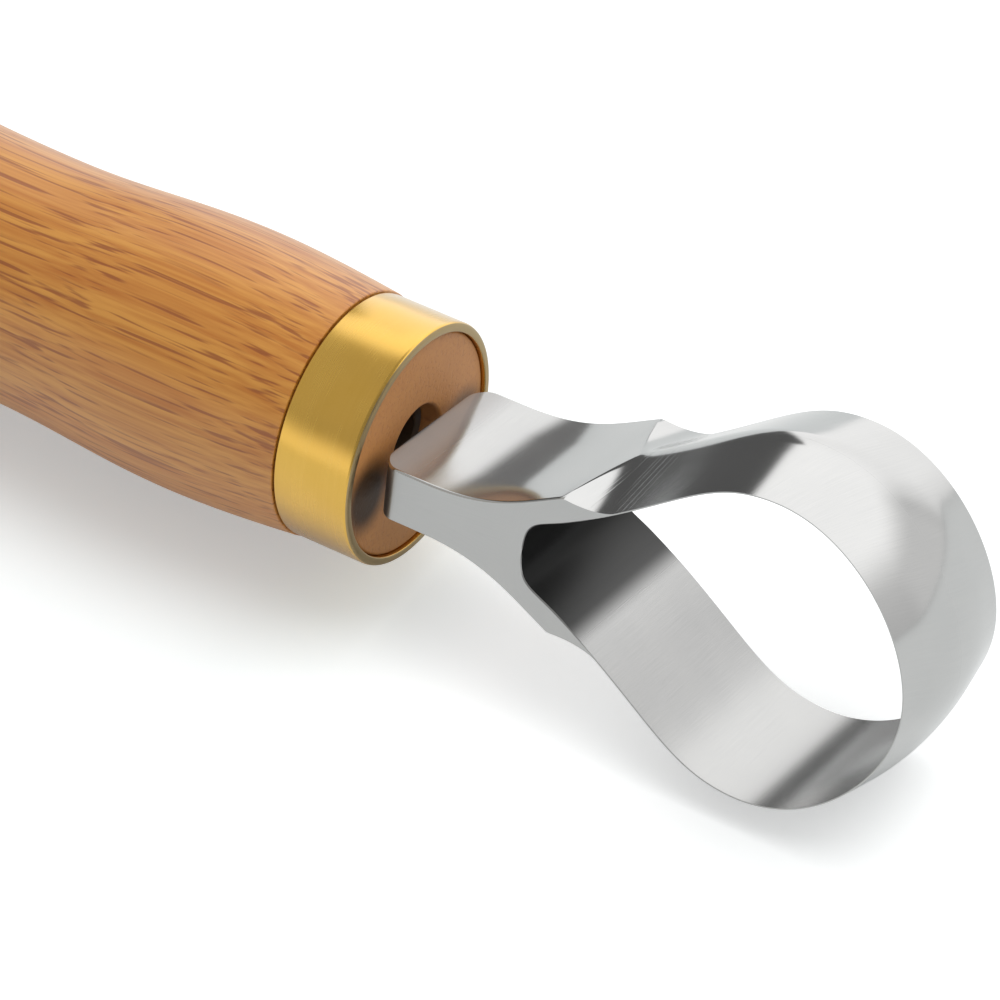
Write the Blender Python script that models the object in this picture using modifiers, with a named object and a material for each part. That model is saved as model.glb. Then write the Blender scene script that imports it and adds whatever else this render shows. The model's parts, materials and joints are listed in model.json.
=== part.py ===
"""Closed-loop hook knife: a double-edged steel loop on a turned wooden handle with a brass ferrule."""

import bisect
import math

import bmesh
import bpy
from mathutils import Vector
from mathutils.geometry import interpolate_bezier

# The tool's own axis is X, with 0 at the ferrule's front rim and the loop towards +X.
FIT_GAP = 0.0003

FERRULE_RADIUS = 0.0105
FERRULE_LENGTH = 0.0070
FERRULE_WALL = 0.0008
FERRULE_RIM = 0.0005

HANDLE_LENGTH = 0.142
HANDLE_PROUD = 0.00025
SWELL_RADIUS = 0.01145
SWELL_AT = 0.020
WAIST_RADIUS = 0.0106
WAIST_AT = 0.038
BELLY_RADIUS = 0.0138
BELLY_AT = 0.092
BUTT_FLAT_RADIUS = 0.0044
BUTT_TAPER_POWER = 2.6
BUTT_ROUND_POWER = 2.2
END_GRAIN_RECESS = 0.0003

TANG_RADIUS = 0.0019
TANG_TIP_RADIUS = 0.0012
TANG_LENGTH = 0.052
TANG_RELIEF_RADIUS = 0.0032
TANG_RELIEF_DEPTH = 0.0007
ADHESIVE_BED = 0.0011
ADHESIVE_RECESS = 0.0020
BORE_BELOW_TANG = 0.006

BLADE_WIDTH = 0.0151
SHANK_THICKNESS = 0.0048
SHANK_STAND_OFF = 0.0004
SHANK_CORNER_LENGTH = 0.0020
SHANK_CORNER_WIDTH = 0.0040
SHANK_STRAIGHT = 0.0050

# Inside of the loop, upper half: fork root, a point on the arm, top of the loop and nose.
FORK_AT = 0.0145
FORK_ROUNDING = 0.0033
ARM_POINT = Vector((0.01875, 0.0046))
ARM_ANGLE = math.radians(31.0)
ARM_TO_FORK = 0.0037
ARM_TO_TOP = 0.0102
LOOP_TOP = Vector((0.0356, 0.01365))
TOP_TO_ARM = 0.0059
TOP_TO_NOSE = 0.0071
NOSE_AT = 0.0484
NOSE_ROUNDING = 0.0061

RIBBON_AT_FORK = 0.0025
RIBBON_AT_NOSE = 0.00135
RIBBON_THINNING_POWER = 2.0
FLARE_END_AT = 0.0173
FLARE_FROM_SHANK = 0.0060
FLARE_TO_ARM = 0.0045
RIDGE_LAND = 0.0005
EDGE_LAND = 0.00012
GRIND_RUN_IN = 0.0043
GRIND_RUN_IN_POWER = 1.5
GRIND_SKEW = 0.0008
GRIND_MARGIN = 0.0015

TURNED_STEPS = 40
CURVE_STEPS = 18
GRIP_STEPS = 14
CORNER_STEPS = 5
RUN_IN_STEPS = 6
MERGE_DISTANCE = 1e-7

HALF_WIDTH = BLADE_WIDTH / 2
SPIGOT_RADIUS = FERRULE_RADIUS - FERRULE_WALL - FIT_GAP
BED_RADIUS = TANG_RADIUS + FIT_GAP + ADHESIVE_BED
BORE_RADIUS = BED_RADIUS + FIT_GAP
BORE_DEPTH = TANG_LENGTH + BORE_BELOW_TANG
SHOULDER_AT = FERRULE_LENGTH + FIT_GAP
TANG_RELIEF_AT = SHANK_STAND_OFF + TANG_RELIEF_DEPTH


def clear_scene():
    for obj in list(bpy.data.objects):
        bpy.data.objects.remove(obj, do_unlink=True)


def new_collection(name):
    collection = bpy.data.collections.new(name)
    bpy.context.scene.collection.children.link(collection)
    return collection


def new_material(name, colour, roughness, metallic):
    material = bpy.data.materials.new(name)
    material.use_nodes = True
    shader = material.node_tree.nodes["Principled BSDF"]
    shader.inputs["Base Color"].default_value = (*colour, 1.0)
    shader.inputs["Roughness"].default_value = roughness
    shader.inputs["Metallic"].default_value = metallic
    return material


def add_object(name, mesh, collection, parent, material=None):
    obj = bpy.data.objects.new(name, mesh)
    collection.objects.link(obj)
    obj.parent = parent
    if material:
        mesh.materials.append(material)
    return obj


def as_cutter(obj):
    obj.hide_render = True
    obj.display_type = "WIRE"


def add_boolean(obj, other, operation):
    modifier = obj.modifiers.new(f"{operation.lower()}_{other.name}", "BOOLEAN")
    modifier.operation = operation
    modifier.solver = "EXACT"
    modifier.object = other


def turned(name, profile, collection, parent, material=None, closed=False):
    """A solid turned about the tool's axis. The profile's points are (distance along X, radius)."""
    points = [(radius, 0.0, along) for along, radius in profile]
    edges = [(i, i + 1) for i in range(len(points) - 1)]
    if closed:
        edges.append((len(points) - 1, 0))
    mesh = bpy.data.meshes.new(name)
    mesh.from_pydata(points, edges, [])
    obj = add_object(name, mesh, collection, parent, material)
    obj.rotation_euler = (0, math.pi / 2, 0)
    screw = obj.modifiers.new("turn", "SCREW")
    screw.axis = "Z"
    screw.steps = TURNED_STEPS
    screw.render_steps = TURNED_STEPS
    screw.use_merge_vertices = True
    screw.merge_threshold = MERGE_DISTANCE
    screw.use_smooth_shade = True
    return obj


def handle_profile():
    """Bore, end grain, spigot, then the grip's swell, waist, belly and rounded butt."""
    shoulder_radius = FERRULE_RADIUS + HANDLE_PROUD
    profile = [
        (-BORE_DEPTH, 0.0),
        (-BORE_DEPTH, BORE_RADIUS),
        (-END_GRAIN_RECESS, BORE_RADIUS),
        (-END_GRAIN_RECESS, SPIGOT_RADIUS),
        (-SHOULDER_AT, SPIGOT_RADIUS),
    ]
    steps = GRIP_STEPS // 2
    for i in range(steps):
        part = i / steps
        along = SHOULDER_AT + part * (SWELL_AT - SHOULDER_AT)
        rise = math.sin(part * math.pi / 2)
        profile.append((-along, shoulder_radius + rise * (SWELL_RADIUS - shoulder_radius)))
    profile += eased_run(SWELL_AT, SWELL_RADIUS, WAIST_AT, WAIST_RADIUS, steps)
    profile += eased_run(WAIST_AT, WAIST_RADIUS, BELLY_AT, BELLY_RADIUS, steps)
    profile += butt_run(GRIP_STEPS)
    profile.append((-HANDLE_LENGTH, 0.0))
    return profile


def eased_run(start_at, start_radius, end_at, end_radius, steps):
    """A stretch of the grip that starts and ends level, without its last point."""
    run = []
    for i in range(steps):
        part = i / steps
        ease = (1 - math.cos(part * math.pi)) / 2
        along = start_at + part * (end_at - start_at)
        run.append((-along, start_radius + ease * (end_radius - start_radius)))
    return run


def butt_run(steps):
    """From the belly to the small flat on the butt, along a superellipse that is cut at the flat."""
    flat_share = (1 - (BUTT_FLAT_RADIUS / BELLY_RADIUS) ** BUTT_ROUND_POWER) ** (1 / BUTT_TAPER_POWER)
    full_length = (HANDLE_LENGTH - BELLY_AT) / flat_share
    run = []
    for i in range(steps + 1):
        part = math.sin(i / steps * math.pi / 2) * flat_share
        radius = BELLY_RADIUS * (1 - part**BUTT_TAPER_POWER) ** (1 / BUTT_ROUND_POWER)
        run.append((-(BELLY_AT + part * full_length), radius))
    return run


def ferrule_profile():
    inner = FERRULE_RADIUS - FERRULE_WALL
    profile = []
    for i in range(CORNER_STEPS + 1):
        turn = i / CORNER_STEPS * math.pi / 2
        along = -FERRULE_RIM * (1 - math.cos(turn))
        profile.append((along, FERRULE_RADIUS - FERRULE_RIM * (1 - math.sin(turn))))
    profile.append((-FERRULE_LENGTH, FERRULE_RADIUS))
    profile.append((-FERRULE_LENGTH, inner))
    profile.append((0.0, inner))
    return profile


def tang_radius_at(depth):
    root_depth = END_GRAIN_RECESS
    part = (depth - root_depth) / (TANG_LENGTH - root_depth)
    return TANG_RADIUS + part * (TANG_TIP_RADIUS - TANG_RADIUS)


def adhesive_profile():
    """A cup that follows the tang inside and the bore outside."""
    top = ADHESIVE_RECESS
    well = TANG_LENGTH + FIT_GAP
    foot = BORE_DEPTH - FIT_GAP
    return [
        (-well, 0.0),
        (-well, tang_radius_at(TANG_LENGTH) + FIT_GAP),
        (-top, tang_radius_at(top) + FIT_GAP),
        (-top, BED_RADIUS),
        (-foot, BED_RADIUS),
        (-foot, 0.0),
    ]


def loop_inside():
    """Points along the upper half of the loop's inner face, from the fork to the nose."""
    arm = Vector((math.cos(ARM_ANGLE), math.sin(ARM_ANGLE)))
    fork = Vector((FORK_AT, 0.0))
    nose = Vector((NOSE_AT, 0.0))
    up = Vector((0.0, 1.0))
    along = Vector((1.0, 0.0))
    runs = [
        (fork, fork + up * FORK_ROUNDING, ARM_POINT - arm * ARM_TO_FORK, ARM_POINT),
        (ARM_POINT, ARM_POINT + arm * ARM_TO_TOP, LOOP_TOP - along * TOP_TO_ARM, LOOP_TOP),
        (LOOP_TOP, LOOP_TOP + along * TOP_TO_NOSE, nose + up * NOSE_ROUNDING, nose),
    ]
    points = [fork]
    for run in runs:
        points += interpolate_bezier(*[p.to_3d() for p in run], CURVE_STEPS + 1)[1:]
    return [Vector((p[0], p[1])) for p in points]


def outward_normals(points):
    """Normals of the upper half, pointing out of the loop. The ends lie square to the symmetry line."""
    normals = [Vector((-1.0, 0.0))]
    for before, after in zip(points[:-2], points[2:]):
        step = (after - before).normalized()
        normals.append(Vector((-step.y, step.x)))
    normals.append(Vector((1.0, 0.0)))
    return normals


def distances_along(points):
    distances = [0.0]
    for before, after in zip(points[:-1], points[1:]):
        distances.append(distances[-1] + (after - before).length)
    return distances


def ribbon_thickness(distances):
    """The ribbon thins from the fork to the nose, fastest near the fork."""
    whole = distances[-1]
    extra = RIBBON_AT_FORK - RIBBON_AT_NOSE
    return [RIBBON_AT_NOSE + extra * (1 - d / whole) ** RIBBON_THINNING_POWER for d in distances]


def station_at(path, distance):
    """Point on the inner face, outward normal and thickness at a distance from the fork."""
    distances, inside, normals, thickness = path
    i = min(max(bisect.bisect_right(distances, distance), 1), len(distances) - 1)
    part = (distance - distances[i - 1]) / (distances[i] - distances[i - 1])
    thick = thickness[i - 1] + part * (thickness[i] - thickness[i - 1])
    return inside[i - 1].lerp(inside[i], part), normals[i - 1].lerp(normals[i], part), thick


def outer_at(path, distance):
    point, normal, thick = station_at(path, distance)
    return point + normal * thick


def flare_end(path):
    """Distance from the fork at which the flare's outline runs into the ribbon's outer face."""
    distances = path[0]
    after = next(i for i, d in enumerate(distances) if outer_at(path, d).x > FLARE_END_AT)
    low, high = outer_at(path, distances[after - 1]).x, outer_at(path, distances[after]).x
    part = (FLARE_END_AT - low) / (high - low)
    return distances[after - 1] + part * (distances[after] - distances[after - 1])


def loop_outside(path):
    """Upper outline: the shank, the flare up to the arm, then the ribbon's outer face as far as the nose."""
    joined = flare_end(path)
    ribbon = [outer_at(path, d) for d in [joined] + [d for d in path[0] if d > joined + MERGE_DISTANCE]]
    arm = (ribbon[1] - ribbon[0]).normalized()
    shank_end = Vector((SHANK_STRAIGHT, SHANK_THICKNESS / 2))
    flare_handles = (shank_end + Vector((FLARE_FROM_SHANK, 0.0)), ribbon[0] - arm * FLARE_TO_ARM)
    run = (shank_end, *flare_handles, ribbon[0])
    flare = interpolate_bezier(*[p.to_3d() for p in run], CURVE_STEPS + 1)
    start = Vector((SHANK_STAND_OFF + SHANK_CORNER_LENGTH, SHANK_THICKNESS / 2))
    return [start] + [Vector((p[0], p[1])) for p in flare[:-1]] + ribbon


def mirrored_loop(points):
    """The closed outline: the upper half, then the lower half backwards."""
    lower = [Vector((p.x, -p.y)) for p in reversed(points) if p.y > MERGE_DISTANCE]
    return points + lower


def flat_mesh(name, outlines, half_thickness):
    """A closed plate with these outlines, as thick to each side of its own XY plane."""
    outline = bpy.data.curves.new(name, "CURVE")
    outline.dimensions = "2D"
    outline.fill_mode = "BOTH"
    outline.extrude = half_thickness
    for points in outlines:
        spline = outline.splines.new("POLY")
        spline.points.add(len(points) - 1)
        spline.use_cyclic_u = True
        for point, place in zip(spline.points, points):
            point.co = (place.x, place.y, 0.0, 1.0)
    guide = bpy.data.objects.new(name, outline)
    bpy.context.scene.collection.objects.link(guide)
    mesh = bpy.data.meshes.new_from_object(guide.evaluated_get(bpy.context.evaluated_depsgraph_get()))
    bpy.data.objects.remove(guide, do_unlink=True)
    shape = bmesh.new()
    shape.from_mesh(mesh)
    bmesh.ops.remove_doubles(shape, verts=shape.verts, dist=MERGE_DISTANCE)
    bmesh.ops.recalc_face_normals(shape, faces=shape.faces)
    shape.to_mesh(mesh)
    shape.free()
    mesh.materials.clear()
    return mesh


def blade_blank(path, collection, parent, material):
    """The forged blank before grinding: its side view, as wide as the ribbon."""
    outlines = (mirrored_loop(loop_outside(path)), mirrored_loop(path[1]))
    blade = add_object("blade", flat_mesh("blade", outlines, HALF_WIDTH), collection, parent, material)
    blade.rotation_euler = (math.pi / 2, 0, 0)
    return blade


def shank_root(collection, parent):
    """The shank's rear end, seen from above: its corners are rounded off towards the wood."""
    rear = []
    for i in range(CORNER_STEPS + 1):
        turn = i / CORNER_STEPS * math.pi / 2
        along = SHANK_STAND_OFF + SHANK_CORNER_LENGTH * (1 - math.sin(turn))
        across = HALF_WIDTH - SHANK_CORNER_WIDTH * (1 - math.cos(turn))
        rear.append(Vector((along, across)))
    outline = [Vector((SHANK_STRAIGHT, HALF_WIDTH))] + rear
    outline += [Vector((p.x, -p.y)) for p in reversed(outline)]
    mesh = flat_mesh("shank_root", [outline], SHANK_THICKNESS / 2)
    root = add_object("shank_root", mesh, collection, parent)
    as_cutter(root)
    return root


def tang_relief(collection, parent):
    """The pocket round the tang, wider than the shank is thick, so it opens through the shank's faces."""
    behind = SHANK_STAND_OFF - FIT_GAP
    profile = [
        (TANG_RELIEF_AT, 0.0),
        (TANG_RELIEF_AT, TANG_RELIEF_RADIUS),
        (behind, TANG_RELIEF_RADIUS),
        (behind, 0.0),
    ]
    relief = turned("tang_relief", profile, collection, parent)
    as_cutter(relief)
    return relief


def tang(collection, parent):
    """The round tang, rooted in the shank and tapering into the handle."""
    root_at = TANG_RELIEF_AT + TANG_RADIUS
    profile = [
        (root_at, 0.0),
        (root_at, TANG_RADIUS),
        (-END_GRAIN_RECESS, TANG_RADIUS),
        (-TANG_LENGTH, TANG_TIP_RADIUS),
        (-TANG_LENGTH, 0.0),
    ]
    obj = turned("tang", profile, collection, parent)
    as_cutter(obj)
    return obj


def grind_depth(run):
    """Share of the bevel's full depth at a distance past the start of the grind. Negative before it."""
    left = 1 - min(run / GRIND_RUN_IN, 1.0)
    return 1 - left**GRIND_RUN_IN_POWER


def grind_stations(path):
    """Where the wheel's section is set along the whole loop, from the upper arm round to the lower arm.

    Each station holds a point on the inner face, the outward normal and the section.
    """
    start = flare_end(path)
    step = GRIND_RUN_IN / RUN_IN_STEPS
    run_in = [start + i * step for i in range(-2, RUN_IN_STEPS + 1)]
    upper = []
    for distance in run_in + [d for d in path[0] if d > run_in[-1] + step / 2]:
        point, normal, thick = station_at(path, distance)
        run = distance - start
        upper.append((point, normal, grind_section(thick, grind_depth(run), grind_depth(run + GRIND_SKEW))))
    lower = [(Vector((p.x, -p.y)), Vector((n.x, -n.y)), section) for p, n, section in reversed(upper)]
    return upper + lower[1:]


def grind_section(thick, edge_depth, ridge_depth):
    """The wheel's section, as (distance from the middle of the ribbon, height over the inner face)."""
    edge = Vector((HALF_WIDTH, EDGE_LAND))
    shoulder = Vector((RIDGE_LAND / 2, thick))
    slope = (edge - shoulder).normalized()
    away = Vector((-slope.y, slope.x))
    full_depth = (Vector((HALF_WIDTH, thick)) - edge).dot(away)
    low = edge + slope * GRIND_MARGIN + away * full_depth * (1 - edge_depth)
    high = shoulder - slope * GRIND_MARGIN + away * full_depth * (1 - ridge_depth)
    return low, high, Vector((low.x, high.y + GRIND_MARGIN))


def grind_cutter(name, side, stations, collection, parent):
    """The material that one bevel loses: a loft along the loop, because its section turns and shifts."""
    shape = bmesh.new()
    rings = []
    for point, normal, section in stations:
        ring = []
        for across, height in section:
            place = point + normal * height
            ring.append(shape.verts.new((place.x, side * across, place.y)))
        rings.append(ring)
    for ring, following in zip(rings[:-1], rings[1:]):
        for i in range(3):
            j = (i + 1) % 3
            shape.faces.new((ring[i], ring[j], following[j], following[i]))
    shape.faces.new(rings[0])
    shape.faces.new(rings[-1])
    bmesh.ops.triangulate(shape, faces=shape.faces)
    bmesh.ops.recalc_face_normals(shape, faces=shape.faces)
    mesh = bpy.data.meshes.new(name)
    shape.to_mesh(mesh)
    shape.free()
    cutter = add_object(name, mesh, collection, parent)
    as_cutter(cutter)
    return cutter


def rest_on_bench(root, path):
    """Lays the knife as it comes to rest: on one bevel under the loop and on the belly of the handle."""
    foot = max(range(len(path[0])), key=lambda i: path[1][i].y)
    inner, thick = path[1][foot], path[3][foot]
    lean = math.atan2(thick - EDGE_LAND, HALF_WIDTH - RIDGE_LAND / 2)
    loop_height = (inner.y + thick) * math.cos(lean) + RIDGE_LAND / 2 * math.sin(lean)
    pitch = -math.asin((loop_height - BELLY_RADIUS) / (inner.x + BELLY_AT))
    nose = NOSE_AT + RIBBON_AT_NOSE
    root.rotation_euler = (-lean, pitch, 0)
    height = math.sin(pitch) * inner.x + math.cos(pitch) * loop_height
    root.location = ((HANDLE_LENGTH - nose) / 2, 0, height)


def main():
    clear_scene()
    parts = new_collection("hook_knife")
    cutters = new_collection("cutters")
    root = bpy.data.objects.new("hook_knife_root", None)
    parts.objects.link(root)

    steel = new_material("ground_steel", (0.57, 0.57, 0.56), 0.20, 1.0)
    brass = new_material("brass", (0.74, 0.50, 0.16), 0.28, 1.0)
    wood = new_material("lacquered_wood", (0.62, 0.29, 0.07), 0.42, 0.0)
    resin = new_material("cured_adhesive", (0.16, 0.11, 0.07), 0.5, 0.0)

    turned("handle", handle_profile(), parts, root, wood)
    turned("ferrule", ferrule_profile(), parts, root, brass, closed=True)
    turned("tang_adhesive", adhesive_profile(), parts, root, resin)

    inside = loop_inside()
    distances = distances_along(inside)
    path = (distances, inside, outward_normals(inside), ribbon_thickness(distances))
    blade = blade_blank(path, parts, root, steel)
    add_boolean(blade, shank_root(cutters, root), "UNION")
    add_boolean(blade, tang_relief(cutters, root), "DIFFERENCE")
    add_boolean(blade, tang(cutters, root), "UNION")
    stations = grind_stations(path)
    for name, side in (("near_grind", -1), ("far_grind", 1)):
        add_boolean(blade, grind_cutter(name, side, stations, cutters, root), "DIFFERENCE")
    rest_on_bench(root, path)


main()
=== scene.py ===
import json
import math

import bmesh
import bpy
from mathutils import Matrix, Vector
from mathutils.geometry import interpolate_bezier


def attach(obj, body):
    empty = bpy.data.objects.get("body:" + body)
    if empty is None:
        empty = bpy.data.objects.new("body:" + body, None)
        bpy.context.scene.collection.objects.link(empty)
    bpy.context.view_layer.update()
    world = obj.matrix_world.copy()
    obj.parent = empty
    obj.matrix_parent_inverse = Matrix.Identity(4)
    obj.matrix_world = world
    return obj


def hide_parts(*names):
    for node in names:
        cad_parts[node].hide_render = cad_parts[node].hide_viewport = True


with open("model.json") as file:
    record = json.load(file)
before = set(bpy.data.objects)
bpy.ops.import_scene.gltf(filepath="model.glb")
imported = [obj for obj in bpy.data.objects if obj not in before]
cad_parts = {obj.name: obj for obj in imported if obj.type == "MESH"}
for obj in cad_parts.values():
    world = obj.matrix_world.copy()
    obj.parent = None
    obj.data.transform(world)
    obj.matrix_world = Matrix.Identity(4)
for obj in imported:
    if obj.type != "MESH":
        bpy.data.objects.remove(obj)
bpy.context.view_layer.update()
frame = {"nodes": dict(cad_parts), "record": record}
mounts = {mount["name"]: mount for mount in frame["record"]["mounts"]}
print("frame loaded:", ", ".join(sorted(frame["nodes"])))

# The tool's own frame: X runs to the loop, 0 at the ferrule's front rim. Pieces are modelled in it,
# in metres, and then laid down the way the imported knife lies.
handleSize = {
    "length": 0.142,
    "shoulderAt": 0.00712,  # rear rim of the ferrule
    "shoulder": 0.01064,
    "shoulderRound": 0.00012,
    "swellAt": 0.020,
    "swell": 0.01145,
    "waistAt": 0.038,
    "waist": 0.0106,
    "bellyAt": 0.092,
    "belly": 0.0138,
    "buttFlat": 0.0044,
    "taperPower": 2.6,
    "roundPower": 2.2,
    "endGrainAt": 0.0003,
    "spigot": 0.00966,
    "bore": 0.0034,
    "boreDepth": 0.058,
    "edgeRound": 0.0003,
    "buttSteps": 48,
    "steps": 144,
}
alongTool = -Vector(mounts["butt_end"]["axis"]).normalized()
acrossTool = Vector(mounts["shank_side_far"]["axis"]).normalized()
toolPose = Matrix((alongTool, acrossTool, alongTool.cross(acrossTool))).transposed().to_4x4()
toolPose.translation = Vector(mounts["butt_end"]["pos_m"]) + alongTool * handleSize["length"]
mergeDistance = 1e-6
creaseAngle = 40  # degrees, above which a turned piece keeps a sharp edge


# small node helpers
def addNode(tree, kind, inputs=None, **settings):
    node = tree.nodes.new("ShaderNode" + kind)
    for name, value in settings.items():
        setattr(node, name, value)
    for socket, value in (inputs or {}).items():
        if isinstance(value, bpy.types.NodeSocket):
            tree.links.new(value, node.inputs[socket])
        else:
            node.inputs[socket].default_value = value
    return node


def doMath(tree, operation, *values):
    return addNode(tree, "Math", dict(enumerate(values)), operation=operation).outputs[0]


def mixColour(tree, share, first, second):
    inputs = {0: share, 6: first, 7: second}
    return addNode(tree, "Mix", inputs, data_type="RGBA").outputs[2]


def remap(tree, value, low, high, toLow=0.0, toHigh=1.0, smooth=False):
    kind = "SMOOTHSTEP" if smooth else "LINEAR"
    inputs = {0: value, 1: low, 2: high, 3: toLow, 4: toHigh}
    return addNode(tree, "MapRange", inputs, interpolation_type=kind).outputs[0]


def toolCoordinates(tree):
    # Object coordinates turned back into the tool's own frame
    place = addNode(tree, "TexCoord").outputs["Object"]
    inputs = {"Vector": place, "Location": toolPose.translation, "Rotation": toolPose.to_euler()}
    return addNode(tree, "Mapping", inputs, vector_type="TEXTURE").outputs[0]


def stretch(tree, vector, scale, turn=(0, 0, 0)):
    inputs = {"Vector": vector, "Rotation": turn, "Scale": scale}
    return addNode(tree, "Mapping", inputs).outputs[0]


def noise(tree, vector, scale=1.0, detail=3.0, roughness=0.5):
    inputs = {"Vector": vector, "Scale": scale, "Detail": detail, "Roughness": roughness}
    return addNode(tree, "TexNoise", inputs).outputs[0]


def startMaterial(name):
    material = bpy.data.materials.new(name)
    material.use_nodes = True
    return material, material.node_tree, material.node_tree.nodes["Principled BSDF"]


def setShader(tree, shader, values):
    for name, value in values.items():
        if isinstance(value, bpy.types.NodeSocket):
            tree.links.new(value, shader.inputs[name])
        else:
            shader.inputs[name].default_value = value


# materials
lacquerLook = {
    "pale": (0.69, 0.300, 0.042, 1),
    "honey": (0.51, 0.164, 0.010, 1),
    "pore": (0.29, 0.066, 0.003, 1),
    "endGrain": (0.58, 0.265, 0.095, 1),
    "streak": (0.090, 0.0014),  # length and width of the soft colour streaks
    "fibre": (0.050, 0.00046),
    "poreSize": (0.0150, 0.00034),
    "ringStep": 0.0045,  # early wood, where the pores crowd
    "poreShare": 0.82,
    "endGrainShare": 0.8,
    "coat": 0.9,
    "coatRough": 0.36,
}
# painted shade on the end grain beside the shank, where the shank shadows it: two spots, by distance across
# and up from the tool's axis
paintedShadeSize = {
    "across": 0.0070, "up": -0.0016, "width": 0.0034, "height": 0.0040,
    "share": 0.96, "colour": (0.030, 0.012, 0.001, 1),
}


def alongGrain(tree, place, size, detail):
    length, width = size
    return noise(tree, stretch(tree, place, (1 / length, 1 / width, 1 / width)), 1, detail, 0.55)


def woodColour(tree, place, look):
    streaks = alongGrain(tree, place, look["streak"], 3)
    fibres = alongGrain(tree, place, look["fibre"], 2)
    tone = doMath(tree, "MULTIPLY_ADD", fibres, 0.6, doMath(tree, "MULTIPLY", streaks, 0.4))
    body = mixColour(tree, remap(tree, tone, 0.36, 0.62), look["honey"], look["pale"])
    # pores: short dark dashes, crowded into the early wood of each ring
    cells = alongGrain(tree, place, look["poreSize"], 1)
    rings = addNode(tree, "TexWave", {
        "Vector": stretch(tree, place, (0.06, 1, 1), (0.6, 0, 0)),
        "Scale": 0.314 / look["ringStep"], "Distortion": 1.6, "Detail": 2.0,
    }, wave_type="BANDS", bands_direction="Z").outputs["Fac"]
    crowd = remap(tree, rings, 0.0, 1.0, 0.03, -0.03)
    pores = remap(tree, doMath(tree, "ADD", cells, crowd), 0.52, 0.70, smooth=True)
    shown = doMath(tree, "MULTIPLY", pores, look["poreShare"])
    return mixColour(tree, shown, body, look["pore"]), pores, tone


def makeLacqueredWood():
    material, tree, shader = startMaterial("lacqueredWood")
    colour, pores, tone = woodColour(tree, toolCoordinates(tree), lacquerLook)
    roughness = doMath(tree, "MULTIPLY_ADD", pores, 0.1, remap(tree, tone, 0.3, 0.7, 0.50, 0.40))
    height = doMath(tree, "MULTIPLY_ADD", tone, 0.25, doMath(tree, "MULTIPLY", pores, -1.0))
    bump = addNode(tree, "Bump", {"Strength": 0.22, "Distance": 0.00010, "Height": height}).outputs[0]
    setShader(tree, shader, {
        "Base Color": colour, "Roughness": roughness, "Normal": bump,
        "Coat Weight": lacquerLook["coat"], "Coat Roughness": lacquerLook["coatRough"],
    })
    return material


def makeEndGrain():
    material, tree, shader = startMaterial("endGrain")
    colour, pores, tone = woodColour(tree, toolCoordinates(tree), lacquerLook)
    colour = mixColour(tree, lacquerLook["endGrainShare"], colour, lacquerLook["endGrain"])
    # painted shade in the corners beside the shank
    spot = paintedShadeSize
    part = addNode(tree, "SeparateXYZ", {0: toolCoordinates(tree)}).outputs
    beside = doMath(tree, "SUBTRACT", doMath(tree, "ABSOLUTE", part["Y"]), spot["across"])
    beside = doMath(tree, "DIVIDE", beside, spot["width"])
    below = doMath(tree, "DIVIDE", doMath(tree, "SUBTRACT", part["Z"], spot["up"]), spot["height"])
    away = addNode(tree, "CombineXYZ", {0: beside, 1: below}).outputs[0]
    away = addNode(tree, "VectorMath", {0: away}, operation="LENGTH").outputs["Value"]
    # painted shade, darkest next to the shank
    paintedShade = remap(tree, away, 0.45, 1.15, spot["share"], 0, smooth=True)
    colour = mixColour(tree, paintedShade, colour, spot["colour"])
    height = doMath(tree, "SUBTRACT", tone, pores)
    bump = addNode(tree, "Bump", {"Strength": 0.2, "Distance": 0.00008, "Height": height}).outputs[0]
    setShader(tree, shader, {"Base Color": colour, "Roughness": 0.55, "Normal": bump})
    return material


brassLook = {
    "tones": ((0.72, 0.42, 0.050, 1), (0.77, 0.46, 0.070, 1)),
    "rough": (0.22, 0.30),
    "coat": 1.0,
    "coatRough": 0.20,
    "cutTones": ((0.34, 0.25, 0.12, 1), (0.46, 0.35, 0.19, 1)),
    "cutRough": (0.34, 0.46),
}


def makeCutBrass():
    # the tube's sawn end, duller than its turned side
    material, tree, shader = startMaterial("cutBrass")
    cloud = noise(tree, toolCoordinates(tree), 900, 3)
    colour = mixColour(tree, cloud, *brassLook["cutTones"])
    roughness = remap(tree, cloud, 0.3, 0.7, *brassLook["cutRough"])
    setShader(tree, shader, {"Base Color": colour, "Metallic": 1.0, "Roughness": roughness})
    return material


def makeBrass():
    material, tree, shader = startMaterial("satinBrass")
    place = toolCoordinates(tree)
    lathe = noise(tree, stretch(tree, place, (9000, 40, 40)), 1, 3, 0.6)  # turning lines go round
    cloud = noise(tree, place, 260, 3)
    tint = doMath(tree, "ADD", doMath(tree, "MULTIPLY", lathe, 0.4), doMath(tree, "MULTIPLY", cloud, 0.6))
    colour = mixColour(tree, remap(tree, tint, 0.35, 0.65), *brassLook["tones"])
    roughness = remap(tree, tint, 0.3, 0.7, *brassLook["rough"])
    bump = addNode(tree, "Bump", {"Strength": 0.05, "Distance": 0.00001, "Height": lathe}).outputs[0]
    setShader(tree, shader, {"Base Color": colour, "Metallic": 1.0, "Roughness": roughness, "Normal": bump,
                             "Coat Weight": brassLook["coat"], "Coat Roughness": brassLook["coatRough"]})
    return material


# one recipe for the blade's finishes: scratches run across the blade, by the blade's own UV map in metres
steelFinish = {
    "bevelSteel": {"rough": (0.09, 0.15), "turn": 14, "width": 0.00008, "bump": 0.08, "tone": 0.52},
    "insideSteel": {"rough": (0.20, 0.27), "turn": 0, "width": 0.00007, "bump": 0.10, "tone": 0.465},
    "shankSteel": {"rough": (0.09, 0.14), "turn": 0, "width": 0.00007, "bump": 0.06, "tone": 0.53,
                   "metal": 0.83},
    "flankSteel": {"rough": (0.30, 0.38), "turn": 80, "width": 0.00007, "bump": 0.10, "tone": 0.49},
}
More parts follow.
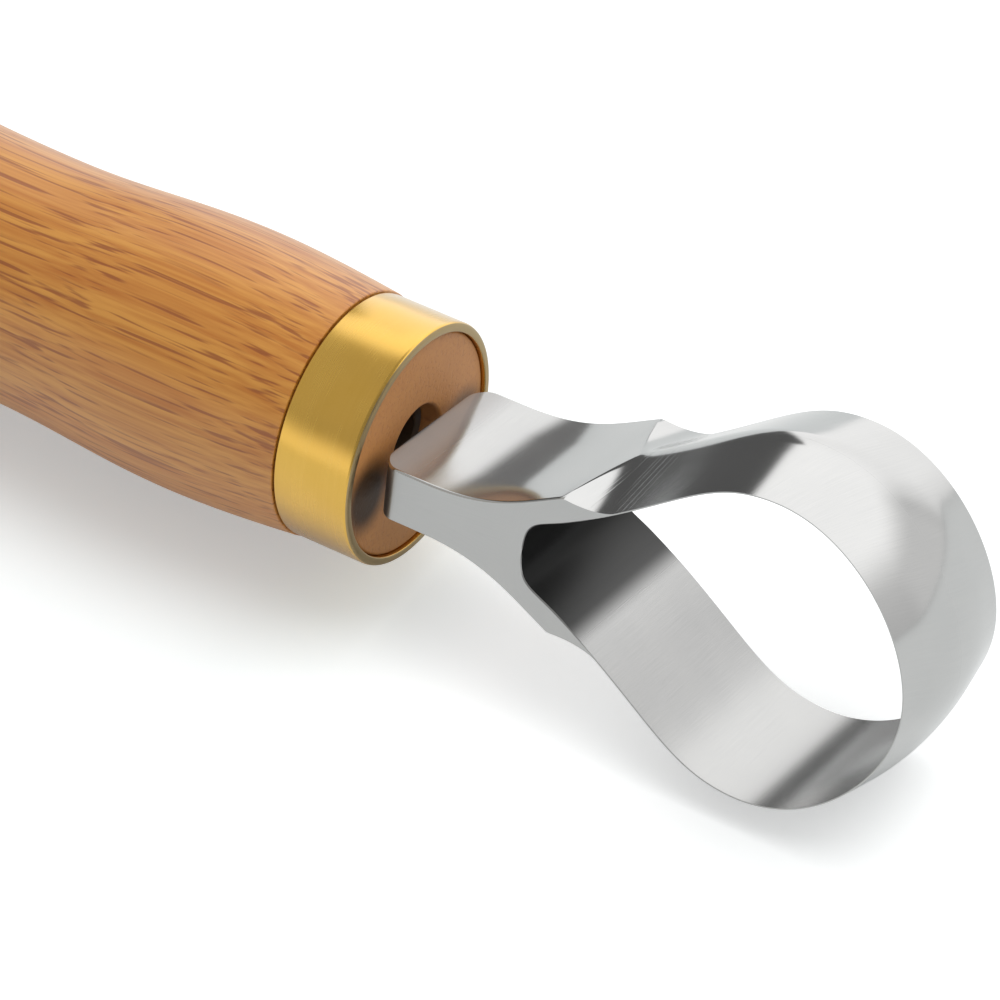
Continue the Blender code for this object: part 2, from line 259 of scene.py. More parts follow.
# coarse wheel marks at the bevel's heel
wheelMarks = {"from": 0.0185, "to": 0.0262, "width": 0.00022, "depth": 2.5}
# painted shade: the inside face goes dark into the fork's root, where the arms hem in what it mirrors;
# distances along the blade
forkRootShade = {"root": 0.0130, "to": 0.0181, "gone": 0.0205, "dark": 0.0, "pale": 0.17}
# the wheel's polish stops short of the handle
shankDull = {"from": 0.0018, "to": 0.0050, "metal": 0.42, "shade": 0.80}


def makeSteel(name):
    look = steelFinish[name]
    material, tree, shader = startMaterial(name)
    ground = addNode(tree, "UVMap", uv_map="bladeUv").outputs[0]
    turned = stretch(tree, ground, (1, 1, 1), (0, 0, math.radians(look["turn"])))
    width = look["width"]
    lines = noise(tree, stretch(tree, turned, (1 / width, 0.014 / width, 1)), 1, 4, 0.65)
    cloud = noise(tree, toolCoordinates(tree), 190, 3)
    wear = doMath(tree, "MULTIPLY_ADD", lines, 0.6, doMath(tree, "MULTIPLY", cloud, 0.4))
    low, high = look["rough"]
    roughness = remap(tree, wear, 0.3, 0.7, low, high)
    pale = look["tone"]
    first = (pale * 0.96, pale * 0.96, pale * 0.95, 1)
    second = (pale * 1.04, pale * 1.035, pale * 1.02, 1)
    colour = mixColour(tree, remap(tree, wear, 0.35, 0.65), first, second)
    height = lines
    metal = look.get("metal", 1.0)
    along = addNode(tree, "SeparateXYZ", {0: ground}).outputs["X"]
    if name == "bevelSteel":
        marks, size = wheelMarks, wheelMarks["width"]
        coarse = noise(tree, stretch(tree, turned, (1 / size, 12, 1)), 1, 1, 0.4)
        groove = remap(tree, coarse, 0.60, 0.70, smooth=True)
        comes = remap(tree, along, marks["from"], marks["from"] + 0.002, smooth=True)
        goes = remap(tree, along, marks["to"] - 0.003, marks["to"], 1, 0, smooth=True)
        groove = doMath(tree, "MULTIPLY", groove, doMath(tree, "MULTIPLY", comes, goes))
        height = doMath(tree, "MULTIPLY_ADD", groove, -marks["depth"], lines)
        roughness = doMath(tree, "MULTIPLY_ADD", groove, 0.15, roughness)
    if name == "insideSteel":
        # painted shade: the inside face's colour goes to black towards the fork's root
        rootShade = forkRootShade
        left = remap(tree, along, rootShade["to"], rootShade["gone"], 1, 0, smooth=True)
        depth = remap(tree, along, rootShade["root"], rootShade["to"], rootShade["dark"], rootShade["pale"])
        share = doMath(tree, "MULTIPLY_ADD", doMath(tree, "SUBTRACT", depth, 1.0), left, 1.0)
        colour = mixColour(tree, share, (0, 0, 0, 1), colour)
        roughness = doMath(tree, "MULTIPLY_ADD", left, 0.15, roughness)
    if name == "shankSteel":
        dull = shankDull
        metal = remap(tree, along, dull["from"], dull["to"], dull["metal"], metal, smooth=True)
        shade = remap(tree, along, dull["from"], dull["to"], dull["shade"], 1.0, smooth=True)
        colour = mixColour(tree, shade, (0, 0, 0, 1), colour)
    inputs = {"Strength": look["bump"], "Distance": 0.000012, "Height": height}
    bump = addNode(tree, "Bump", inputs).outputs[0]
    setShader(tree, shader, {"Base Color": colour, "Metallic": metal,
                             "Roughness": roughness, "Normal": bump})
    return material


resinLook = {
    "tones": ((0.035, 0.022, 0.014, 1), (0.11, 0.07, 0.04, 1)),
    "rough": (0.35, 0.6),
}


def makeResin():
    material, tree, shader = startMaterial("curedResin")
    cloud = noise(tree, toolCoordinates(tree), 900, 4)
    colour = mixColour(tree, cloud, *resinLook["tones"])
    roughness = remap(tree, cloud, 0.3, 0.7, *resinLook["rough"])
    bump = addNode(tree, "Bump", {"Strength": 0.4, "Distance": 0.0001, "Height": cloud}).outputs[0]
    setShader(tree, shader, {"Base Color": colour, "Roughness": roughness, "Normal": bump})
    return material


# modelling helpers
def beginPiece(name):
    bpy.ops.object.select_all(action="DESELECT")
    bpy.ops.mesh.primitive_plane_add(size=0.001)
    piece = bpy.context.object
    piece.name = name
    bpy.ops.object.mode_set(mode="EDIT")
    bpy.ops.mesh.select_all(action="SELECT")
    bpy.ops.mesh.merge(type="CENTER")
    return piece


def turnPiece(name, profile, steps):
    # one vertex is pulled along the profile of (along, radius), and the line is spun round the tool's axis
    piece = beginPiece(name)
    places = [Vector((along, 0, radius)) for along, radius in profile]
    bpy.ops.transform.translate(value=places[0])
    for before, after in zip(places, places[1:]):
        bpy.ops.mesh.extrude_region_move(TRANSFORM_OT_translate={"value": after - before})
    bpy.ops.mesh.select_all(action="SELECT")
    bpy.ops.mesh.spin(steps=steps, angle=math.tau, center=(0, 0, 0), axis=(1, 0, 0))
    closeMesh()
    bpy.ops.object.mode_set(mode="OBJECT")
    return piece


def closeMesh():
    bpy.ops.mesh.select_all(action="SELECT")
    bpy.ops.mesh.remove_doubles(threshold=mergeDistance)
    bpy.ops.mesh.normals_make_consistent(inside=False)


def layDown(piece, node):
    # from the tool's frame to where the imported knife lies
    bpy.ops.object.select_all(action="DESELECT")
    piece.select_set(True)
    bpy.context.view_layer.objects.active = piece
    piece.matrix_world = toolPose
    bpy.ops.object.transform_apply(location=True, rotation=True, scale=True)
    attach(piece, "root")
    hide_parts(node)
    print(piece.name, "in place:", len(piece.data.polygons), "faces")


def smoothByAngle(piece, degrees):
    bpy.ops.object.select_all(action="DESELECT")
    piece.select_set(True)
    bpy.context.view_layer.objects.active = piece
    bpy.ops.object.shade_smooth_by_angle(angle=math.radians(degrees))


def roundCorner(centre, radius, fromAngle, toAngle, steps=5):
    turns = [math.radians(fromAngle + (toAngle - fromAngle) * i / steps) for i in range(steps + 1)]
    return [(centre[0] + radius * math.cos(t), centre[1] + radius * math.sin(t)) for t in turns]


# handle
def handleProfile(size):
    edge = size["edgeRound"]
    profile = [(-size["boreDepth"], 0.0), (-size["boreDepth"], size["bore"])]
    profile += roundCorner((-size["endGrainAt"] - edge, size["bore"] + edge), edge, -90, 0)
    profile += roundCorner((-size["endGrainAt"] - edge, size["spigot"] - edge), edge, 0, 90)
    profile.append((-size["shoulderAt"], size["spigot"]))
    corner = size["shoulderRound"]
    start = size["shoulderAt"] + corner
    profile += roundCorner((-start, size["shoulder"] - corner), corner, 0, 90)
    profile += easedRun(start, size["shoulder"], size["swellAt"], size["swell"], 16, quarter=True)
    profile += easedRun(size["swellAt"], size["swell"], size["waistAt"], size["waist"], 24)
    profile += easedRun(size["waistAt"], size["waist"], size["bellyAt"], size["belly"], 40)
    flatShare = (1 - (size["buttFlat"] / size["belly"]) ** size["roundPower"]) ** (1 / size["taperPower"])
    reach = (size["length"] - size["bellyAt"]) / flatShare
    for i in range(size["buttSteps"] + 1):
        part = math.sin(i / size["buttSteps"] * math.pi / 2) * flatShare
        radius = size["belly"] * (1 - part ** size["taperPower"]) ** (1 / size["roundPower"])
        profile.append((-size["bellyAt"] - part * reach, radius))
    profile += [(-size["length"], size["buttFlat"] * share) for share in (0.9, 0.6, 0.3, 0.0)]
    return profile


def easedRun(startAt, startRadius, endAt, endRadius, steps, quarter=False):
    run = []
    for i in range(1, steps) if quarter else range(steps):
        part = i / steps
        ease = math.sin(part * math.pi / 2) if quarter else (1 - math.cos(part * math.pi)) / 2
        run.append((-startAt - part * (endAt - startAt), startRadius + ease * (endRadius - startRadius)))
    return run


def makeHandle():
    handle = turnPiece("turnedHandle", handleProfile(handleSize), handleSize["steps"])
    handle.data.materials.append(makeLacqueredWood())
    handle.data.materials.append(makeEndGrain())
    bareUpTo = -handleSize["shoulderAt"] + mergeDistance
    for face in handle.data.polygons:
        face.material_index = 1 if face.center.x > bareUpTo or insideBore(face) else 0
    smoothByAngle(handle, creaseAngle)
    layDown(handle, "handle")


def insideBore(face):
    radius = math.hypot(face.center.y, face.center.z)
    inDepth = face.center.x > -handleSize["boreDepth"] - mergeDistance
    return inDepth and radius < handleSize["bore"] + mergeDistance


# ferrule
ferruleSize = {
    "radius": 0.0105,
    "length": 0.0070,
    "wall": 0.0008,
    "frontRound": 0.0004,
    "innerRound": 0.00012,
    "rearRound": 0.00015,
    "cutFacing": 0.7,  # faces that look along the tool this much are the sawn ends
    "steps": 192,
}


def makeFerrule():
    size = ferruleSize
    outer, inner = size["radius"], size["radius"] - size["wall"]
    front, lip, rear = size["frontRound"], size["innerRound"], size["rearRound"]
    profile = roundCorner((-front, outer - front), front, 0, 90, 9)
    profile += [(-size["length"] * share, outer) for share in (0.3, 0.5, 0.7)]
    profile += roundCorner((rear - size["length"], outer - rear), rear, 90, 180)
    profile += roundCorner((lip - size["length"], inner + lip), lip, 180, 270)
    profile += roundCorner((-lip, inner + lip), lip, 270, 360)
    profile.append(profile[0])
    ferrule = turnPiece("brassFerrule", profile, size["steps"])
    ferrule.data.materials.append(makeBrass())
    ferrule.data.materials.append(makeCutBrass())
    for face in ferrule.data.polygons:
        face.material_index = 1 if abs(face.normal.x) > size["cutFacing"] else 0
    smoothByAngle(ferrule, creaseAngle)
    layDown(ferrule, "ferrule")


# bed of resin round the tang, with the hollow that the resin draws as it cures
bedSize = {
    "top": 0.0020,
    "foot": 0.0577,
    "radius": 0.0032,
    "tangAtTop": 0.00217,
    "tangAtFoot": 0.0015,
    "well": 0.0523,
    "hollow": 0.0004,
    "hollowSteps": 8,
    "steps": 64,
}


def makeBed():
    size = bedSize
    profile = [(-size["well"], 0.0), (-size["well"], size["tangAtFoot"])]
    for i in range(size["hollowSteps"] + 1):
        part = i / size["hollowSteps"]
        radius = size["tangAtTop"] + part * (size["radius"] - size["tangAtTop"])
        profile.append((-size["top"] - size["hollow"] * math.sin(part * math.pi), radius))
    profile += [(-size["foot"], size["radius"]), (-size["foot"], 0.0)]
    bed = turnPiece("tangBed", profile, size["steps"])
    bed.data.materials.append(makeResin())
    smoothByAngle(bed, creaseAngle)
    layDown(bed, "tang_adhesive")


# blade
bladeSize = {
    "width": 0.0151,
    "shankThickness": 0.0048,
    "shankAt": 0.0004,
    "cornerLength": 0.0020,  # rounded rear corners of the shank, seen from above
    "cornerWidth": 0.0040,
    "shankStraight": 0.0050,
    "forkAt": 0.0145,
    "forkRounding": 0.0033,
    "armPoint": Vector((0.01875, 0.0046)),
    "armAngle": math.radians(31.0),
    "armToFork": 0.0037,
    "armToTop": 0.0102,
    "loopTop": Vector((0.0356, 0.01365)),
    "topToArm": 0.0059,
    "topToNose": 0.0071,
    "noseAt": 0.0484,
    "noseRounding": 0.0061,
    "thickAtFork": 0.0025,
    "thickAtNose": 0.00135,
    "flareEndAt": 0.0173,
    "flareFromShank": 0.0060,
    "flareToArm": 0.0045,
    "rootRibAt": 0.0118,  # where the flare's rib meets the fork's root
    "ridgeLand": 0.0005,
    "heelRound": 0.0002,  # the ridge's rounding where the bevels start, on the arms and at the nose
    "armRound": 0.0009,
    "noseRound": 0.0042,
    "noseRoundFrom": 0.0340,
    "edgeLand": 0.00012,
    "edgeSoft": 0.2,  # share of the land that is left as a break inside the edge
    "grindFrom": -0.001,  # where the wheel starts, before the arm
    "runIn": 0.0043,
    "runInPower": 1.5,
    "skew": 0.0008,
    "edgeBreak": 0.00013,  # broken edges of the shank
    "rearBreak": 0.00045,
    "forkBreak": 0.00010,
    "step": 0.00030,
}
tangSize = {
    "radius": 0.0019,
    "tip": 0.0012,
    "length": 0.052,
    "relief": 0.0032,
    "reliefDepth": 0.0007,
    "overlap": 0.0003,  # of the cutter past the shank, and where the tang starts to taper
    "reliefSteps": 64,
    "steps": 48,
}


def loopInside(size):
    # upper half of the loop's inner face, from fork to nose, as (x, z)
    arm = Vector((math.cos(size["armAngle"]), math.sin(size["armAngle"])))
    fork, nose = Vector((size["forkAt"], 0)), Vector((size["noseAt"], 0))
    up, along = Vector((0, 1)), Vector((1, 0))
    armPoint, top = size["armPoint"], size["loopTop"]
    runs = [
        (fork, fork + up * size["forkRounding"], armPoint - arm * size["armToFork"], armPoint),
        (armPoint, armPoint + arm * size["armToTop"], top - along * size["topToArm"], top),
        (top, top + along * size["topToNose"], nose + up * size["noseRounding"], nose),
    ]
    points = [fork]
    for run in runs:
        points += [p.to_2d() for p in interpolate_bezier(*[q.to_3d() for q in run], 120)[1:]]
    return evenRun(points, size["step"])


def runLengths(points):
    lengths = [0.0]
    for before, after in zip(points, points[1:]):
        lengths.append(lengths[-1] + (after - before).length)
    return lengths


def pointAt(points, lengths, distance):
    for i in range(1, len(points)):
        if lengths[i] >= distance or i == len(points) - 1:
            share = (distance - lengths[i - 1]) / (lengths[i] - lengths[i - 1])
            return points[i - 1].lerp(points[i], share)


def evenRun(points, step):
    lengths = runLengths(points)
    count = round(lengths[-1] / step)
    between = [pointAt(points, lengths, lengths[-1] * i / count) for i in range(1, count)]
    return [points[0], *between, points[-1]]


def outwardNormals(points):
    normals = [Vector((-1, 0))]
    for before, after in zip(points, points[2:]):
        step = (after - before).normalized()
        normals.append(Vector((-step.y, step.x)))
    return normals + [Vector((1, 0))]


def grindShare(run):
    size = bladeSize
    return 1 - (1 - min(run / size["runIn"], 1.0)) ** size["runInPower"]


def bevelCut(thick, run):
    # where the ground facet leaves the flank (a height) and the outer face (a distance from the middle)
    size = bladeSize
    half = size["width"] / 2
    edge, shoulder = Vector((half, size["edgeLand"])), Vector((size["ridgeLand"] / 2, thick))
    slope = (edge - shoulder).normalized()
    away = Vector((-slope.y, slope.x))
    depth = (Vector((half, thick)) - edge).dot(away)
    low = edge + away * depth * (1 - grindShare(run))
    high = shoulder + away * depth * (1 - grindShare(run + size["skew"]))
    fall = (high.y - low.y) / (high.x - low.x)
    height = low.y + (half - low.x) * fall
    across = low.x + (thick - low.y) / fall
    breakSize = size["edgeBreak"]
    return min(height, thick - breakSize), min(across, half - breakSize)


def bladeStations(size):
    # each station: inner point, outer point, half width, facet's height and reach, inner break, distance
    half, rise, breakSize = size["width"] / 2, size["shankThickness"] / 2, size["edgeBreak"]
    inside = loopInside(size)
    lengths, normals = runLengths(inside), outwardNormals(inside)
    extra = size["thickAtFork"] - size["thickAtNose"]
    thick = [size["thickAtNose"] + extra * (1 - d / lengths[-1]) ** 2 for d in lengths]
    outside = [p + n * t for p, n, t in zip(inside, normals, thick)]
    join = next(i for i, p in enumerate(outside) if p.x > size["flareEndAt"])
    stations = []
    corner = 10
    for i in range(corner + 1):  # rounded rear corners
        turn = (1 - i / corner) * math.pi / 2
        x = size["shankAt"] + size["cornerLength"] * (1 - math.sin(turn))
        width = half - size["cornerWidth"] * (1 - math.cos(turn))
        top = rise - max(size["shankAt"] + size["rearBreak"] - x, 0)
        stations.append((Vector((x, 0)), Vector((x, top)), width, top - breakSize, width - breakSize, 0, x))
    for i in range(1, 7):
        x = stations[corner][0].x
        x += (size["shankStraight"] - x) * i / 7
        low, high = Vector((x, 0)), Vector((x, rise))
        stations.append((low, high, half, rise - breakSize, half - breakSize, 0, x))
    # the flare leaves the shank and runs into the arm; ribs fan round the fork's root
    shankEnd = Vector((size["shankStraight"], rise))
    arm = (outside[join + 1] - outside[join]).normalized()
    handles = (shankEnd + Vector((size["flareFromShank"], 0)), outside[join] - arm * size["flareToArm"])
    flare = interpolate_bezier(*[p.to_3d() for p in (shankEnd, *handles, outside[join])], 200)
    flare = evenRun([p.to_2d() for p in flare], size["step"])
    rootRib = next(i for i, p in enumerate(flare) if p.x > size["rootRibAt"])
    for i, outer in enumerate(flare[:-1]):
        if i <= rootRib:
            toRoot = (size["forkAt"] - size["shankStraight"]) * i / rootRib
            inner = Vector((size["shankStraight"] + toRoot, 0))
            run, innerBreak = -1, 0
        else:
            distance = lengths[join] * (i - rootRib) / (len(flare) - 1 - rootRib)
            inner = pointAt(inside, lengths, distance)
            run, innerBreak = distance - lengths[join], size["forkBreak"]
        reach = (outer - inner).length
        height, across = reach - breakSize, half - breakSize
        if run > size["grindFrom"]:
            height, across = bevelCut(reach, run)
        stations.append((inner, outer, half, height, across, innerBreak, outer.x))
    for i in range(join, len(inside)):
        run = lengths[i] - lengths[join]
        height, across = bevelCut(thick[i], run)
        innerBreak = max(size["forkBreak"] * (1 - run / size["runIn"]), size["edgeLand"] * size["edgeSoft"])
        stations.append((inside[i], outside[i], half, height, across, innerBreak, size["flareEndAt"] + run))
    return stations


def spread(first, last, count):
    return [first.lerp(last, i / count) for i in range(count)]


def ridgeRound(x, run):
    size = bladeSize
    onArm = min(max(run / size["runIn"], 0.0), 1.0)
    part = min(max((x - size["noseRoundFrom"]) / (size["noseAt"] - size["noseRoundFrom"]), 0.0), 1.0)
    onNose = math.sin(part * math.pi / 2)
    atArm = size["heelRound"] + (size["armRound"] - size["heelRound"]) * onArm
    return atArm + (size["noseRound"] - atArm) * onNose


def sectionRing(station):
    # (across, height) round one section, to the far side along the inner face and back over the outside
    inner, outer, half, height, across, innerBreak, distance = station
    thick = (outer - inner).length
    fall = (height - thick) / (half - across)
    soft = min(ridgeRound(outer.x, distance - bladeSize["flareEndAt"]), (half - across) * 0.8)
    reach = across + soft
    flat = max(across - soft, bladeSize["ridgeLand"] * 0.05)
    bend = []
    for i in range(sectionCounts[4] + 1):
        y = reach + (flat - reach) * i / sectionCounts[4]
        lift = fall * ((reach - flat) ** 2 - (y - flat) ** 2) / (2 * (reach - flat))
        bend.append((y, thick + fall * (reach - across) - lift))
    corners = [(-half + innerBreak, 0), (half - innerBreak, 0), (half, innerBreak), (half, height)]
    ring = []
    for first, last, count in zip(corners, corners[1:] + [bend[0]], sectionCounts):
        ring += spread(Vector(first), Vector(last), count)
    ring += [Vector(p) for p in bend]
    middle = sectionCounts[5]
    ring += [Vector((flat - 2 * flat * i / middle, bend[-1][1])) for i in range(1, middle)]
    # the outside and the near flank repeat the far ones
    farSide = ring[sectionCounts[0]:sectionCounts[0] + sum(sectionCounts[1:5]) + 1]
    ring += [Vector((-p.x, p.y)) for p in reversed(farSide)]
    return ring, thick


# inside, break, flank, bevel, its rounding, top of the shank or ridge, and back again
sectionCounts = (6, 1, 2, 5, 6, 4, 6, 5, 2, 1)
sectionFinish = ("insideSteel", "flankSteel", "flankSteel", "bevelSteel", "bevelSteel",
                 "shankSteel", "bevelSteel", "bevelSteel", "flankSteel", "flankSteel")
sharpColumns = (0, 1, 2, 3, 8, 9, 10)  # where a run of the section ends in a crease


def makeBlade():
    size = bladeSize
    stations = bladeStations(size)
    around = sum(sectionCounts)
    bpy.ops.object.select_all(action="DESELECT")
    bpy.ops.mesh.primitive_grid_add(x_subdivisions=around, y_subdivisions=len(stations) - 1, size=0.1)
    blade = bpy.context.object
    blade.name = "loopBlade"
    mesh = blade.data
    finishes = list(steelFinish)
    for name in finishes:
        mesh.materials.append(makeSteel(name))
    # the sheet is wrapped round the blade, one row for each station
    uvMap = mesh.uv_layers.active
    uvMap.name = "bladeUv"
    flatPlaces = {}
    for row, station in enumerate(stations):
        ring, thick = sectionRing(station)
        inner, outer, distance = station[0], station[1], station[6]
        for column, (across, height) in enumerate(ring):
            place = inner.lerp(outer, height / thick)
            vertex = mesh.vertices[row * (around + 1) + column]
            vertex.co = (place.x, across, place.y)
            flatPlaces[vertex.index] = (distance, across + height)
    columnFinish = []
    for finish, count in zip(sectionFinish, sectionCounts):
        columnFinish += [finishes.index(finish)] * count
    for face in mesh.polygons:
        face.material_index = columnFinish[face.index % around]
        for loop in face.loop_indices:
            uvMap.data[loop].uv = flatPlaces[mesh.loops[loop].vertex_index]
    markCreases(mesh, around)
    bpy.ops.object.mode_set(mode="EDIT")
    dropMiddleFaces()
    closeRear()
    bpy.ops.mesh.select_all(action="SELECT")
    bpy.ops.mesh.remove_doubles(threshold=mergeDistance)
    bpy.ops.object.mode_set(mode="OBJECT")
    addModifier(blade, "MIRROR", use_axis=(False, False, True), merge_threshold=mergeDistance * 2)
    bpy.ops.object.mode_set(mode="EDIT")
    closeMesh()
    bpy.ops.object.mode_set(mode="OBJECT")
    cutTang(blade)
    bpy.ops.object.select_all(action="DESELECT")
    blade.select_set(True)
    bpy.context.view_layer.objects.active = blade
    bpy.ops.object.shade_smooth()
    layDown(blade, "blade")


def markCreases(mesh, around):
    creases = {sum(sectionCounts[:i]) for i in sharpColumns}
    for edge in mesh.edges:
        first, second = edge.vertices
        if abs(first - second) == around + 1 and first % (around + 1) in creases:
            edge.use_edge_sharp = True


def selectWhere(test):
    shape = bmesh.from_edit_mesh(bpy.context.object.data)
    bpy.ops.mesh.select_all(action="DESELECT")
    for part in test(shape):
        part.select_set(True)
    bmesh.update_edit_mesh(bpy.context.object.data)


def dropMiddleFaces():
    # the half blade stays open where the other half joins it
    bpy.ops.mesh.select_mode(type="FACE")
    selectWhere(lambda shape: [f for f in shape.faces if all(abs(v.co.z) < mergeDistance for v in f.verts)])
    bpy.ops.mesh.delete(type="FACE")


def closeRear():
    bpy.ops.mesh.select_mode(type="EDGE")
    rear = bladeSize["shankAt"] + mergeDistance
    selectWhere(lambda shape: [e for e in shape.edges if all(v.co.x < rear for v in e.verts)])
    bpy.ops.mesh.mark_sharp()
    bpy.ops.mesh.edge_face_add()


def addModifier(piece, kind, **settings):
    bpy.ops.object.select_all(action="DESELECT")
    piece.select_set(True)
    bpy.context.view_layer.objects.active = piece
    bpy.ops.object.modifier_add(type=kind)
    modifier = piece.modifiers[-1]
    for name, value in settings.items():
        setattr(modifier, name, value)
    bpy.ops.object.modifier_apply(modifier=modifier.name)


def cutTang(blade):
    # a relief is turned into the shank's rear, and the tang grows out of it
    size, at = tangSize, bladeSize["shankAt"]
    floorAt = at + size["reliefDepth"]
    past = at - size["overlap"]
    cutter = [(floorAt, 0), (floorAt, size["relief"]), (past, size["relief"]), (past, 0)]
    relief = turnPiece("relief", cutter, size["reliefSteps"])
    addModifier(blade, "BOOLEAN", object=relief, operation="DIFFERENCE", solver="EXACT")
    root = floorAt + size["radius"]
    taper = [(root, 0), (root, size["radius"]), (-size["overlap"], size["radius"]),
             (-size["length"], size["tip"]), (-size["length"], 0)]
    tang = turnPiece("tang", taper, size["steps"])
    addModifier(blade, "BOOLEAN", object=tang, operation="UNION", solver="EXACT")
    for tool in (relief, tang):
        bpy.data.objects.remove(tool, do_unlink=True)


# stage
stageSize = {
    "table": 3.0,
    "tableEdge": 0.32,  # from the knife to the table's end, towards the doorway
    "edgeBearing": math.radians(-60),
    "colour": (0.84, 0.86, 0.86, 1),
    "glow": {"Is Camera Ray": 0.34, "Is Transmission Ray": 0.34, "Is Glossy Ray": 0.10},  # up to white
    # painted light: a glow on the table before the loop, by world X, that lightens the loop's shadow there
    "paintedLightPatch": {"rise": (0.036, 0.058), "fall": (0.064, 0.084), "left": 0.35, "share": 0.20},
    "cool": (0.86, 0.965, 1.0, 1),  # glow beside the handle, against the warm light off the wood
    "softLight": (0.07, 0.66),  # on matt surfaces, from the darkest side and from the lightest
    "lightFrom": Vector((0.25, 0.50, 0.82)),
}
# what lies round the table, by bearing (0 is +Y, 90 is +X) and height in degrees:
# middle and half width of the bearing, lowest and highest height, softness, colour
studioZones = {
    "room": (0, 400, -99, 99, 1, (0.33, 0.33, 0.33)),
    "backPaper": (-12, 34, -40, 58, 5, (1.45, 1.45, 1.45)),
    "rightPaper": (39, 22, -40, 40, 12, (0.94, 0.94, 0.94)),
    "softbox": (4, 64, 26, 57, 10, (1.62, 1.62, 1.62)),
    "ceiling": (0, 400, 61, 99, 6, (0.39, 0.385, 0.37)),
    "ceilingLeft": (-108, 52, 24, 72, 8, (0.57, 0.56, 0.53)),
    "leftPaper": (-160, 34, -40, 15, 9, (1.28, 1.28, 1.28)),
    "doorway": (-62, 28.5, -40, 31.5, 2, (0.14, 0.14, 0.14)),
}
# painted shadow behind the loop's foot, seen only in the metal
paintedShadowCard = {"place": (0.0775, 0.0130, 0.0003), "size": (0.024, 0.012), "grey": 0.42}


def makeTable():
    bpy.ops.object.select_all(action="DESELECT")
    bpy.ops.mesh.primitive_plane_add(size=stageSize["table"])
    table = bpy.context.object
    table.name = "table"
    bearing = stageSize["edgeBearing"]
    reach = stageSize["tableEdge"] - stageSize["table"] / 2
    table.location = (math.sin(bearing) * reach, math.cos(bearing) * reach, 0)
    table.rotation_euler = (0, 0, -bearing)
    material, tree, shader = startMaterial("whiteTable")
    rays = addNode(tree, "LightPath").outputs
    glow = 0.0
    for kind, share in stageSize["glow"].items():
        glow = doMath(tree, "MULTIPLY_ADD", rays[kind], share, glow)
    # painted light: the table glows more where the loop's shadow falls before it
    paintedLightPatch = stageSize["paintedLightPatch"]
    place = addNode(tree, "NewGeometry").outputs["Position"]
    across = addNode(tree, "SeparateXYZ", {0: place}).outputs["X"]
    rise = remap(tree, across, *paintedLightPatch["rise"], smooth=True)
    fall = remap(tree, across, *paintedLightPatch["fall"], 1, paintedLightPatch["left"], smooth=True)
    lift = doMath(tree, "MULTIPLY", rays["Is Camera Ray"], doMath(tree, "MULTIPLY", rise, fall))
    glow = doMath(tree, "MULTIPLY_ADD", lift, paintedLightPatch["share"], glow)
    setShader(tree, shader, {
        "Base Color": stageSize["colour"], "Roughness": 0.9, "Specular IOR Level": 0.0,
        "Emission Color": mixColour(tree, rise, stageSize["cool"], (1, 1, 1, 1)),
        "Emission Strength": glow,
    })
    table.data.materials.append(material)


def makePaintedShadowCard():
    # painted shadow: a grey card on the table right behind the loop's foot, standing for the loop's contact
    # shadow there, which only the metal mirrors
    bpy.ops.object.select_all(action="DESELECT")
    bpy.ops.mesh.primitive_plane_add(size=1.0, location=paintedShadowCard["place"])
    card = bpy.context.object
    card.name = "paintedShadowCard"
    card.scale = (*paintedShadowCard["size"], 1)
    card.visible_camera = card.visible_diffuse = card.visible_shadow = False
    material, tree, shader = startMaterial("paintedShadowGrey")
    setShader(tree, shader, {"Base Color": (0, 0, 0, 1), "Roughness": 1.0, "Specular IOR Level": 0.0,
                             "Emission Color": (1, 1, 1, 1), "Emission Strength": paintedShadowCard["grey"]})
    card.data.materials.append(material)


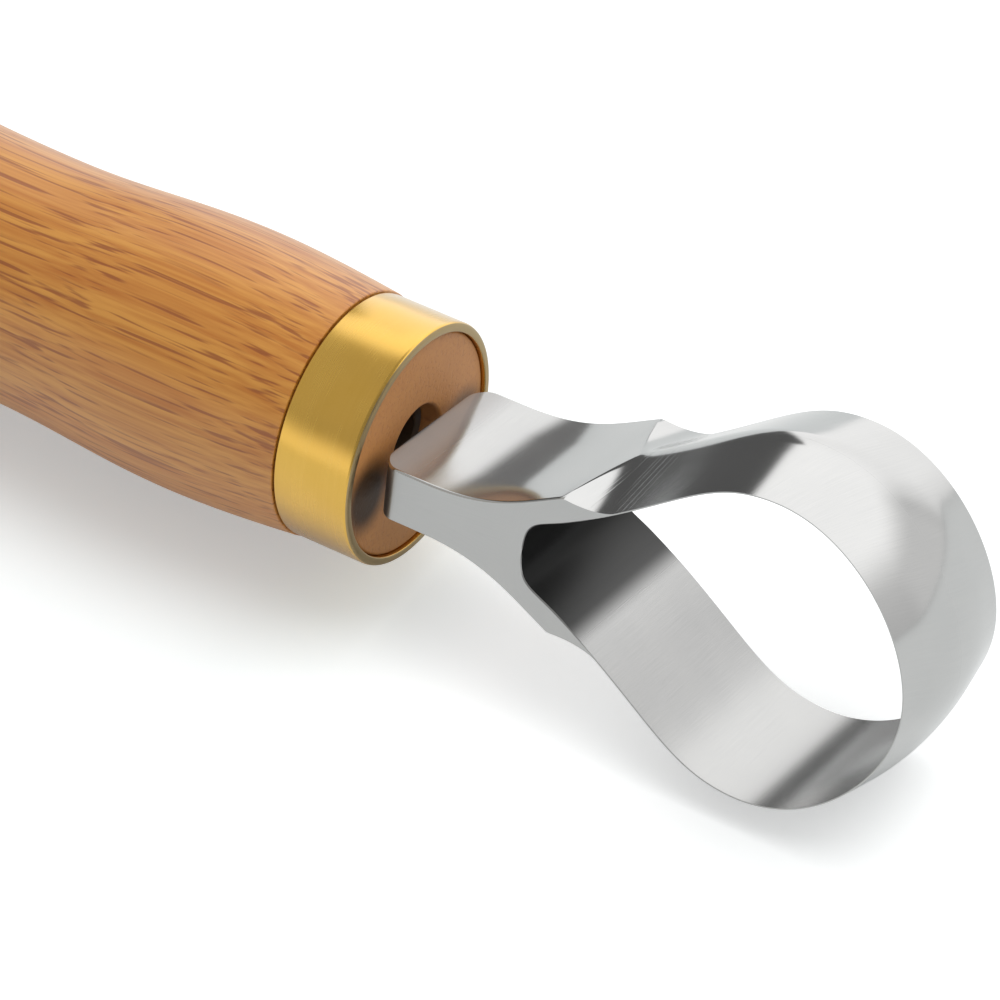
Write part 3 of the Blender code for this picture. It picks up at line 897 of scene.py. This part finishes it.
def makeWorld():
    world = bpy.data.worlds.new("studio")
    bpy.context.scene.world = world
    world.use_nodes = True
    tree = world.node_tree
    way = addNode(tree, "TexCoord").outputs["Generated"]
    ray = addNode(tree, "SeparateXYZ", {0: way}).outputs
    bearing = doMath(tree, "DEGREES", doMath(tree, "ARCTAN2", ray["X"], ray["Y"]))
    height = doMath(tree, "DEGREES", doMath(tree, "ARCSINE", ray["Z"]))
    colour = (0, 0, 0, 1)
    for middle, half, low, high, soft, tint in studioZones.values():
        turned = doMath(tree, "WRAP", doMath(tree, "SUBTRACT", bearing, middle), 180, -180)
        away = doMath(tree, "ABSOLUTE", turned)
        mask = remap(tree, away, half - soft, half + soft, 1, 0, smooth=True)
        above = remap(tree, height, low - soft, low + soft, smooth=True)
        below = remap(tree, height, high - soft, high + soft, 1, 0, smooth=True)
        mask = doMath(tree, "MULTIPLY", doMath(tree, "MULTIPLY", mask, above), below)
        colour = mixColour(tree, mask, colour, (*tint, 1))
    # matt surfaces get a smooth light, metal mirrors the zones, and the background is white
    rays = addNode(tree, "LightPath").outputs
    inputs = {0: way, 1: stageSize["lightFrom"].normalized()}
    lean = addNode(tree, "VectorMath", inputs, operation="DOT_PRODUCT").outputs["Value"]
    soft = remap(tree, lean, -1, 1, *stageSize["softLight"])
    shown = mixColour(tree, rays["Is Diffuse Ray"], colour, soft)
    seen = doMath(tree, "MAXIMUM", rays["Is Camera Ray"], rays["Is Transmission Ray"])
    shown = mixColour(tree, seen, shown, (1, 1, 1, 1))
    tree.links.new(shown, tree.nodes["Background"].inputs["Color"])
    world.cycles.sampling_method = "NONE"


lampSizes = {
    "overhead": {"place": (0.26, 0.20, 1.00), "size": (0.9, 0.8), "power": 6.3},
}


def makeLamps():
    for name, lamp in lampSizes.items():
        data = bpy.data.lights.new(name, "AREA")
        data.shape = "RECTANGLE"
        data.size, data.size_y = lamp["size"]
        data.energy = lamp["power"]
        light = bpy.data.objects.new(name, data)
        bpy.context.scene.collection.objects.link(light)
        light.location = lamp["place"]
        light.rotation_euler = (-Vector(lamp["place"])).to_track_quat("-Z", "Y").to_euler()
        light.visible_camera = False
        light.visible_glossy = False  # the studio zones are its reflection


cameraFit = {
    "place": (0.214194, -0.247940, 0.287907),
    "turn": (0.820302, 0.000289, 0.573904),
    "lens": 181.87,
    "sensor": 36,
    "nearest": 0.01,
}


def makeCamera():
    data = bpy.data.cameras.new("camera")
    data.lens = cameraFit["lens"]
    data.sensor_width = cameraFit["sensor"]
    data.clip_start = cameraFit["nearest"]
    camera = bpy.data.objects.new("camera", data)
    bpy.context.scene.collection.objects.link(camera)
    camera.location = cameraFit["place"]
    camera.rotation_euler = cameraFit["turn"]
    bpy.context.scene.camera = camera


bpy.context.scene.view_settings.view_transform = "Standard"
makeCamera()
makeTable()
makePaintedShadowCard()
makeWorld()
makeLamps()
print("stage set")
makeHandle()
makeFerrule()
makeBed()
makeBlade()
